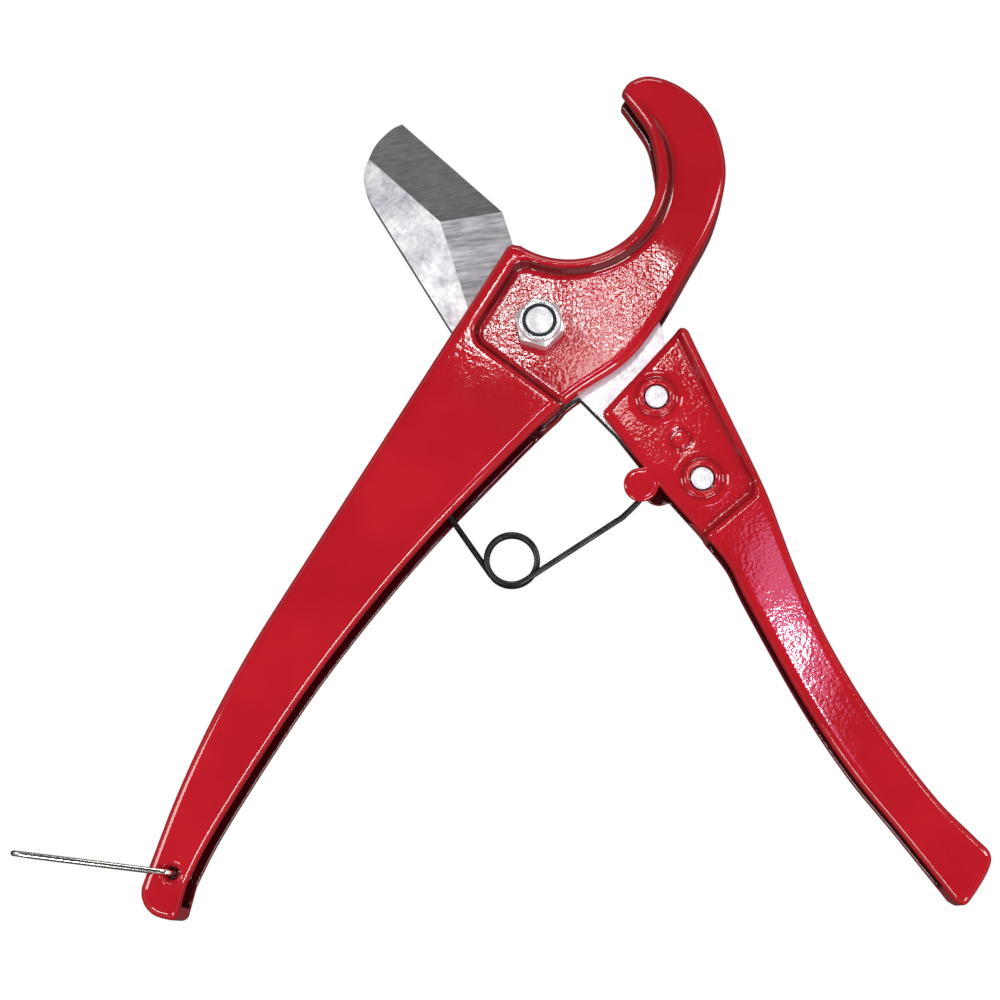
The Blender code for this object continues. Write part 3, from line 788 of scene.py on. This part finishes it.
def chamfered(plan, z, low, high, chamfer_low, chamfer_high):
    """A hexagonal block between two heights, with turned chamfers on its corners at the ends asked for."""
    block = soft_max(plan["hexagon"], np.maximum(z - high, low - z), 0.25)
    cone = math.radians(CHAMFER_SLOPE)
    for wanted, depth in ((chamfer_high, z - high), (chamfer_low, low - z)):
        if wanted:
            chamfer = (plan["radius"] - HEX_HALF * 0.97) * math.sin(cone) + depth * math.cos(cone)
            block = soft_max(block, chamfer, 0.2)
    return block


def nut_field(plan, z):
    """A self-locking nut: a chamfered hexagon with a round collar rolled in over its nylon ring."""
    block = chamfered(plan, z, NUT_LOW_Z, NUT_LOW_Z + NUT_HEX_HEIGHT, True, True)
    collar = rounded_block(plan["radius"] - NUT_COLLAR_RADIUS, z - NUT_TOP_Z, NUT_COLLAR_ROUND)
    collar = np.maximum(collar, NUT_LOW_Z + 1.0 - z)
    block = soft_min(block, collar, 0.5)
    block = soft_max(block, CHEEK_HOLE_RADIUS - plan["radius"], 0.2)
    seat = np.maximum(plan["radius"] - NUT_SEAT_RADIUS, NUT_TOP_Z - NUT_SEAT_DEPTH - z)
    return soft_max(block, -seat, 0.3)


def bolt_field(plan, z):
    """A hexagon bolt whose threaded end stands just proud of its nut."""
    head = chamfered(plan, z, 0.0, BOLT_HEAD_HEIGHT, True, False)
    turns = (z / THREAD_PITCH - plan["angle"] / (2 * math.pi)) % 1.0
    thread = THREAD_DEPTH * np.abs(2 * turns - 1) * smooth_step(z, *THREAD_START)
    shank = np.maximum(plan["radius"] - BOLT_RADIUS + thread, -z)
    dome = np.hypot(plan["radius"], z - (BOLT_END_Z - BOLT_DOME_RADIUS)) - BOLT_DOME_RADIUS
    tip = (plan["radius"] - BOLT_TIP_RADIUS) * 0.7 + (z - BOLT_END_Z) * 0.7
    shank = soft_max(soft_max(shank, dome, 0.15), tip, 0.3)
    return soft_min(head, shank, 0.4)


def hardware(name, field_of, low, high):
    """A piece of pivot hardware from its field between two heights, finely meshed."""
    reach = HEX_HALF / math.cos(math.radians(30)) + 0.3
    box = [(-reach, -reach, low - 0.1), (reach, reach, high + 0.1)]
    points, faces, _ = meshed(hardware_plan, field_of, box, HARDWARE_STEP)
    return mesh_piece(name, points, faces)


def nylon_ring():
    """The nylon ring that grips the thread, just below the nut's rolled collar."""
    inner, outer = NYLON_RADII
    middle = outer - NYLON_ROUND
    top = NUT_TOP_Z - NYLON_DROP
    rounded = [(middle + NYLON_ROUND * math.cos(a), top - NYLON_ROUND + NYLON_ROUND * math.sin(a))
               for a in map(math.radians, (0, 30, 60, 90, 120, 150, 180))]
    low = top - NYLON_HEIGHT
    return turned("nylon_insert", (0, 0), [(outer, low)] + rounded + [(inner, low)])


def rivet_piece(name, centre):
    """A solid rivet, its two heads set flush with the bosses, each with a shallow mark at its centre."""
    dimple = [(0.0, RIVET_HALF - 0.22), (0.3, RIVET_HALF - 0.18), (0.55, RIVET_HALF - 0.03)]
    crown = [(share * 2.1, RIVET_HALF - 0.12 * share ** 2) for share in (0.36, 0.6, 0.85, 1.0)]
    shoulder = [(2.3, RIVET_HALF - 0.22), (2.42, RIVET_HALF - 0.42), (RIVET_RADIUS, RIVET_HALF - 0.7)]
    upper = dimple + crown + shoulder
    profile = [(radius, MIDDLE_Z - z) for radius, z in upper]
    profile += [(radius, MIDDLE_Z + z) for radius, z in upper[::-1]]
    return turned(name + "_set", centre, profile)


# ---- wires

def spring_path():
    """The path of the coil, turning upwards to its front leg and hook, and the path of the back leg."""
    first = LEG_1_HEADING + 90
    last = LEG_2_HEADING - 90 + 360 * (SPRING_TURNS + 1)
    low = MIDDLE_Z - SPRING_PITCH * (last - first) / 360 / 2
    steps = int((last - first) / 6)
    points = []
    for i in range(steps + 1):
        angle = first + SPRING_PIECE_GAP + (last - first - SPRING_PIECE_GAP) * i / steps
        height = low + SPRING_PITCH * (angle - first) / 360
        points.append((*polar(angle, SPRING_RADIUS, SPRING_CENTRE), height))
    top = points[-1]
    for i in range(1, 16):
        t = i / 16
        height = top[2] + (MIDDLE_Z - top[2]) * min(t / 0.9, 1)
        points.append((*polar(LEG_2_HEADING, LEG_2_LENGTH * t, top), height))
    knee = polar(LEG_2_HEADING, LEG_2_LENGTH, top)
    hook = curve([points[-2][:2], points[-1][:2], knee] + SPRING_HOOK, steps=6)[7:]
    points += [(x, y, MIDDLE_Z) for x, y in hook]
    foot = (*polar(first, SPRING_RADIUS, SPRING_CENTRE), low - LEG_1_DROP)
    leg = [(*polar(LEG_1_HEADING, LEG_1_LENGTH * t, foot), foot[2]) for t in (0, 0.05, 0.3, 0.6, 0.95, 1)]
    return points, leg


def bail_path():
    """The bail's path: a stub in its hole at the front, round the crossbar, to its stub at the back."""
    reach = BODY_HALF + BAIL_GAP + BAIL_WIRE / 2
    near = [(BAIL_BEND + x, reach - BAIL_BEND + z) for x, z in arc((0, 0), BAIL_BEND, 180, 90, 10)]
    far = [(BAIL_LENGTH - BAIL_BEND + x, reach - BAIL_BEND + z) for x, z in arc((0, 0), BAIL_BEND, 90, 0, 10)]
    path = [(0, BODY_HALF - BAIL_STUB), (0, BODY_HALF - BAIL_STUB + 0.3)] + near + far
    path += [(x, -z) for x, z in path[::-1]]
    return [(*polar(BAIL_HEADING, x, BAIL_HOLE), MIDDLE_Z + z) for x, z in cleaned(path)]


# ---- material nodes

class Finish:
    """A material under construction: its shader, and short ways to add and join nodes."""

    def __init__(self, name, colour, metallic, roughness):
        self.material = bpy.data.materials.new(name)
        self.material.use_nodes = True
        self.tree = self.material.node_tree
        self.shader = self.tree.nodes["Principled BSDF"]
        self.shader.inputs["Base Color"].default_value = (*colour, 1.0)
        self.shader.inputs["Metallic"].default_value = metallic
        self.shader.inputs["Roughness"].default_value = roughness
        self.place = self.tree.nodes.new("ShaderNodeTexCoord").outputs["Object"]

    def node(self, kind, inputs=None, **settings):
        """A new node with its inputs set or joined."""
        node = self.tree.nodes.new(kind)
        for key, value in settings.items():
            setattr(node, key, value)
        for key, value in (inputs or {}).items():
            if isinstance(value, bpy.types.NodeSocket):
                self.tree.links.new(value, node.inputs[key])
            else:
                node.inputs[key].default_value = value
        return node

    def noise(self, size, detail=2.0, stretch=None, turn=0.0):
        """Noise whose features are about this many millimetres across, drawn out along a direction."""
        place = self.place
        if stretch:
            rotation = (0, 0, math.radians(-turn))
            place = self.node("ShaderNodeMapping", {"Vector": place, "Rotation": rotation}).outputs[0]
            place = self.node("ShaderNodeMapping", {"Vector": place, "Scale": stretch}).outputs[0]
        inputs = {"Vector": place, "Scale": 1 / (size * MM), "Detail": detail}
        return self.node("ShaderNodeTexNoise", inputs).outputs["Fac"]

    def ramp(self, value, *stops):
        """A number or colour read from a value through (position, result) stops."""
        node = self.node("ShaderNodeValToRGB", {"Fac": value})
        marks = node.color_ramp.elements
        while len(marks) < len(stops):
            marks.new(0.5)
        for mark, (position, result) in zip(marks, stops):
            mark.position = position
            colour = result if isinstance(result, tuple) else (result, result, result)
            mark.color = (*colour, 1.0)
        return node.outputs["Color"]

    def maths(self, operation, a, b):
        """A number worked out from two others."""
        return self.node("ShaderNodeMath", {0: a, 1: b}, operation=operation).outputs[0]

    def mix(self, share, a, b):
        """A colour between two colours or node outputs."""
        inputs = {0: share}
        for socket, colour in ((6, a), (7, b)):
            inputs[socket] = (*colour, 1.0) if isinstance(colour, tuple) else colour
        return self.node("ShaderNodeMix", inputs, data_type="RGBA").outputs[2]

    def bump(self, height, depth, strength=1.0):
        """Unevenness of about this many millimetres."""
        inputs = {"Height": height, "Distance": depth * MM, "Strength": strength}
        if self.shader.inputs["Normal"].is_linked:
            inputs["Normal"] = self.shader.inputs["Normal"].links[0].from_socket
        node = self.node("ShaderNodeBump", inputs)
        self.join("Normal", node.outputs["Normal"])

    def vary(self, name, value, *stops):
        """Drive one of the shader's inputs through a ramp."""
        self.join(name, self.ramp(value, *stops))

    def blend(self, a, b, share):
        """Two numbers mixed, the first by this share."""
        return self.maths("ADD", self.maths("MULTIPLY", a, share), self.maths("MULTIPLY", b, 1 - share))

    def join(self, name, value):
        """Drive one of the shader's inputs from a node's output."""
        self.tree.links.new(value, self.shader.inputs[name])


def red_paint():
    """Glossy red paint: smooth on the handles' flats, pebbled and glinting on the rough-cast faces, with
    painted shade darkening it where the shade attribute is high.
    """
    finish = Finish("red_paint", (0.48, 0.008, 0.016), 0.0, 0.15)
    finish.shader.inputs["IOR"].default_value = 1.5
    grain = finish.node("ShaderNodeAttribute", attribute_name="grain").outputs["Fac"]
    shade = finish.node("ShaderNodeAttribute", attribute_name="shade").outputs["Fac"]
    drift = finish.noise(22.0, 3.0)
    open_face = finish.ramp(drift, (0.3, (0.35, 0.006, 0.012)), (0.7, (0.44, 0.010, 0.018)))
    # Painted shade: the shade attribute mixes the base colour towards near-black maroon in the channels, the
    # slots, the coves and the moving handle's marks.
    finish.join("Base Color", finish.mix(shade, open_face, (0.045, 0.001, 0.003)))
    finish.vary("Roughness", finish.noise(6.0, 3.0), (0.3, 0.035), (0.75, 0.07))
    finish.bump(finish.noise(0.85, 1.5), 0.050, 1.0)
    fine = finish.shader.inputs["Normal"].links[0].from_node
    finish.tree.links.new(grain, fine.inputs["Strength"])
    finish.bump(finish.noise(6.0, 1.0), 0.03, 0.5)
    return finish.material


def steel_finish(name, dark, light, metallic, roughness, heading, streak, depth):
    """Ground steel: streaks along one heading over a mottled surface."""
    finish = Finish(name, light, metallic, roughness)
    lines = finish.noise(streak, 3.0, stretch=(0.035, 1.0, 1.0), turn=heading)
    blots = finish.noise(5.0, 4.0)
    both = finish.blend(lines, blots, 0.65)
    finish.vary("Base Color", both, (0.38, dark), (0.62, light))
    finish.vary("Roughness", both, (0.3, roughness + 0.1), (0.7, roughness - 0.06))
    finish.bump(lines, depth, 0.6)
    return finish.material


def flat_steel():
    """Bright flat steel, tarnished in bluish, grainy smudges, the whole flat darker towards the nose and
    lighter away from it.
    """
    finish = Finish("blade_flat", (0.7, 0.7, 0.72), 0.7, 0.36)
    smudges = finish.noise(7.0, 3.0)
    grains = finish.noise(0.9, 4.0)
    both = finish.blend(smudges, grains, 0.62)
    along = finish.node("ShaderNodeSeparateXYZ", {"Vector": finish.place}).outputs["Y"]
    # The flat's base tone grows darker towards the nose, at high Y, and lighter away from it.
    lighter_away_from_nose = finish.maths("SUBTRACT", 0.12, finish.maths("MULTIPLY", along, 4.0))
    finish.vary("Base Color", finish.maths("ADD", both, lighter_away_from_nose),
                (0.36, (0.38, 0.40, 0.44)), (0.54, (0.72, 0.72, 0.74)), (0.68, (0.97, 0.97, 0.98)))
    finish.vary("Roughness", grains, (0.3, 0.42), (0.7, 0.32))
    finish.bump(grains, 0.015, 0.5)
    return finish.material


def blade_steels():
    """The flats, the long facet, the short facet, and the narrow sides: copies of one steel with their own
    grinding streaks, their base tones painted dark on the long facet and the sides and light on the flats as
    painted shade and painted reflection.
    """
    # Painted shade and reflection: the long facet and the sides take far darker base tones than the flats and
    # the short facet.
    streaked = (
        ("blade_long_bevel", (0.115, 0.115, 0.12), (0.21, 0.21, 0.215), 0.8, 0.4, 13.0, 0.45, 0.01),
        ("blade_short_bevel", (0.30, 0.31, 0.33), (0.72, 0.73, 0.75), 0.7, 0.36, 10.0, 0.8, 0.03),
        ("blade_sides", (0.10, 0.10, 0.11), (0.24, 0.24, 0.25), 0.8, 0.4, 60.0, 0.6, 0.02))
    return [flat_steel()] + [steel_finish(*row) for row in streaked]


def bright_zinc(name="bright_zinc", metallic=0.75):
    """Bright zinc plating with faint rubbing marks."""
    finish = Finish(name, (0.78, 0.79, 0.81), metallic, 0.2)
    finish.vary("Base Color", finish.noise(2.0, 4.0), (0.3, (0.66, 0.67, 0.70)), (0.6, (0.88, 0.88, 0.9)))
    finish.vary("Roughness", finish.noise(1.1, 4.0), (0.35, 0.22), (0.7, 0.36))
    finish.bump(finish.noise(1.6, 3.0), 0.006, 0.5)
    return finish.material


def dark_nylon():
    """Dark blue-grey nylon, slightly uneven."""
    finish = Finish("dark_nylon", (0.016, 0.022, 0.034), 0.0, 0.45)
    finish.vary("Roughness", finish.noise(0.8), (0.3, 0.35), (0.7, 0.55))
    finish.bump(finish.noise(0.5), 0.02, 0.5)
    return finish.material


def black_spring_wire():
    """Oil-blackened wire: dark satin with the odd brighter rub."""
    finish = Finish("black_spring_wire", (0.02, 0.02, 0.021), 0.7, 0.35)
    rubs = finish.noise(3.0, 4.0)
    finish.vary("Base Color", rubs, (0.35, (0.012, 0.012, 0.013)), (0.7, (0.05, 0.05, 0.052)))
    finish.vary("Roughness", finish.noise(0.9, 3.0), (0.3, 0.26), (0.7, 0.46))
    finish.bump(finish.noise(0.35, 2.0), 0.02, 0.4)
    return finish.material


def nickel_wire():
    """Bright nickel plating, a little worn."""
    finish = Finish("nickel_wire", (0.74, 0.71, 0.67), 1.0, 0.18)
    finish.vary("Base Color", finish.noise(4.0, 3.0), (0.3, (0.62, 0.59, 0.55)), (0.7, (0.82, 0.8, 0.76)))
    finish.vary("Roughness", finish.noise(0.8, 3.0), (0.3, 0.12), (0.7, 0.22))
    finish.bump(finish.noise(0.5, 2.0), 0.003, 0.4)
    return finish.material


# ---- pieces into place

def place(piece, body, node, slot, material=None):
    """A piece that stands for a CAD node, on that node's body and with the material given. The slot is not
    used.
    """
    if material:
        piece.data.materials.append(material)
    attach(piece, body)
    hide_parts(node)


def castings():
    """The two painted handles."""
    paint = red_paint()
    fixed = casting("fixed_casting", "body_casting", body_plan, body_field, body_grain, body_shade,
                    FIXED_SEED)
    place(fixed, "body", "body_casting", "red_paint", paint)
    moving = casting("moving_casting", "moving_handle", lever_plan, lever_field, lever_grain, lever_shade,
                     MOVING_SEED)
    place(moving, "lever", "moving_handle", "red_paint", paint)


def pivot_hardware():
    """The nut, bolt, nylon ring and rivets, and the zinc finish of the CAD's bush and washers."""
    zinc = bright_zinc()
    nut = hardware("locking_nut", nut_field, NUT_LOW_Z, NUT_TOP_Z)
    place(nut, "body", "lock_nut", "zinc_steel", zinc)
    set_steel = bright_zinc("set_rivet_steel", 0.25)
    bolt = hardware("hexagon_bolt", bolt_field, 0.0, BOLT_END_Z)
    place(bolt, "body", "pivot_bolt", "zinc_steel", set_steel)
    place(nylon_ring(), "body", "nut_nylon_ring", "nylon", dark_nylon())
    for name, centre in RIVETS.items():
        place(rivet_piece(name, centre), "lever", name, "zinc_steel", set_steel)
    for name in ("pivot_bush", "front_thrust_washer", "back_thrust_washer"):
        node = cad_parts[name]
        node.data.materials.clear()
        node.data.materials.append(zinc)


def wires():
    """The return spring's two pieces and the bail."""
    coil_points, leg_points = spring_path()
    black = black_spring_wire()
    coil = swept_wire("wound_spring", coil_points, SPRING_WIRE)
    place(coil, "spring_coil", "spring_coil", "spring_wire", black)
    leg = swept_wire("spring_back_leg", leg_points, SPRING_WIRE)
    place(leg, "spring_leg", "spring_leg", "spring_wire", black)
    bail = swept_wire("bent_bail", bail_path(), BAIL_WIRE)
    place(bail, "bail", "bail_wire", "bail_wire", nickel_wire())


# ---- camera, light and floor

def camera():
    """The camera, turned to its target."""
    lens = bpy.data.cameras.new("camera")
    lens.lens = CAMERA_LENS
    lens.sensor_width = CAMERA_SENSOR
    lens.clip_end = CAMERA_CLIP
    thing = linked("camera", lens)
    ahead = (Vector(CAMERA_TARGET) - Vector(CAMERA_PLACE)).normalized()
    right = ahead.cross(Vector((0, 1, 0))).normalized()
    up = right.cross(ahead)
    turn = Matrix((right, up, -ahead)).transposed().to_4x4()
    thing.matrix_world = Matrix.Translation(Vector(CAMERA_PLACE) * MM) @ turn
    bpy.context.scene.camera = thing


def softbox(name, place_mm, target_mm, width, height, power, roll=0.0, colour=(1, 1, 1)):
    """A rectangular studio light, its sizes in millimetres, its power in watts, rolled about its beam."""
    light = bpy.data.lights.new(name, "AREA")
    light.shape = "RECTANGLE"
    light.size = width * MM
    light.size_y = height * MM
    light.energy = power
    light.color = colour
    thing = linked(name, light)
    thing.location = Vector(place_mm) * MM
    ahead = Vector(target_mm) - Vector(place_mm)
    aim = ahead.to_track_quat("-Z", "Y").to_matrix() @ Matrix.Rotation(math.radians(roll), 3, "Z")
    thing.rotation_euler = aim.to_euler()


def studio_world():
    """Pale surroundings, brightest at the horizon, dim overhead and dark below the table."""
    world = bpy.data.worlds.new("studio")
    bpy.context.scene.world = world
    world.use_nodes = True
    nodes, links = world.node_tree.nodes, world.node_tree.links
    direction = nodes.new("ShaderNodeTexCoord").outputs["Generated"]
    split = nodes.new("ShaderNodeSeparateXYZ")
    links.new(direction, split.inputs[0])
    share = nodes.new("ShaderNodeMapRange")
    share.inputs["From Min"].default_value = -1.0
    links.new(split.outputs["Z"], share.inputs["Value"])
    ramp = nodes.new("ShaderNodeValToRGB")
    links.new(share.outputs["Result"], ramp.inputs["Fac"])
    stops = ramp.color_ramp.elements
    levels = ((-0.06, 0.05), (-0.02, 0.85), (0.08, 0.72), (0.22, 0.24), (0.50, 0.10), (0.80, 0.06))
    for _ in levels[2:]:
        stops.new(0.5)
    for stop, (height, level) in zip(stops, levels):
        stop.position = (height + 1.0) / 2
        stop.color = (level, level, level, 1)
    background = nodes["Background"]
    links.new(ramp.outputs["Color"], background.inputs["Color"])
    background.inputs["Strength"].default_value = 1.0


def floor():
    """A plain white table, evenly lit from within like a light table, so that it shows no shadow.

    Only the camera sees it: it doesn't light the tool, and it doesn't show in the tool's gloss."""
    signs = ((-1, -1), (1, -1), (1, 1), (-1, 1))
    corners = [(x * FLOOR_REACH, y * FLOOR_REACH, FLOOR_Z) for x, y in signs]
    piece = mesh_piece("floor", corners, [(0, 1, 2, 3)])
    finish = Finish("white_table", (0, 0, 0), 0.0, 1.0)
    finish.shader.inputs["Specular IOR Level"].default_value = 0.0
    finish.shader.inputs["Emission Color"].default_value = (1, 1, 1, 1)
    finish.shader.inputs["Emission Strength"].default_value = 1.0
    piece.data.materials.append(finish.material)
    piece.visible_diffuse = False
    piece.visible_glossy = False


def studio():
    """Surroundings, floor, soft boxes, and small lamps for the cast faces' glints."""
    scene = bpy.context.scene
    scene.view_settings.view_transform = "Standard"
    scene.view_settings.look = "None"
    studio_world()
    floor()
    softbox("left_box", (-430, 0, 330), (-20, -30, 10), 150, 280, 1.4)
    softbox("right_box", (430, 60, 330), (0, -30, 10), 110, 260, 1.1)
    softbox("back_box", (0, 520, 330), (0, 0, 10), 320, 110, 1.0)
    softbox("front_box", (300, -440, 330), (0, -40, 10), 280, 120, 2.0)
    softbox("low_box", (-300, -420, 330), (-40, -60, 10), 200, 100, 1.0)
    softbox("head_lamp", (-21, 142, 523), (-8, 4, 18), 30, 30, 0.105)
    softbox("web_lamp", (33, 148, 523), (19, 8, 18), 30, 30, 0.075)
    softbox("tail_lamp", (24, 106, 519), (14, -12, 13), 36, 30, 0.03)
    softbox("grip_lamp", (95, -27, 516), (50, -80, 17), 8, 58, 0.11, roll=29, colour=(1.0, 0.82, 0.97))
    softbox("grip_glow", (97, -20, 516), (51, -76, 17), 40, 130, 0.07, roll=30,
            colour=(1.0, 0.42, 0.85))


BODY_OUTLINE = body_outline()
BODY_WEB = body_web_outline()
BODY_SLOT = slot_outline()
BODY_CHANNEL = body_channel_outline()
LEVER_OUTLINE = lever_outline()
LEVER_WEB = lever_web_outline()
LEVER_CHANNEL = lever_channel_outline()
TAIL_SLOT = tail_slot_outline()

camera()
studio()
castings()
place(blade_piece(), "lever", "blade", "blade_steel")
pivot_hardware()
wires()

bpy.context.view_layer.update()
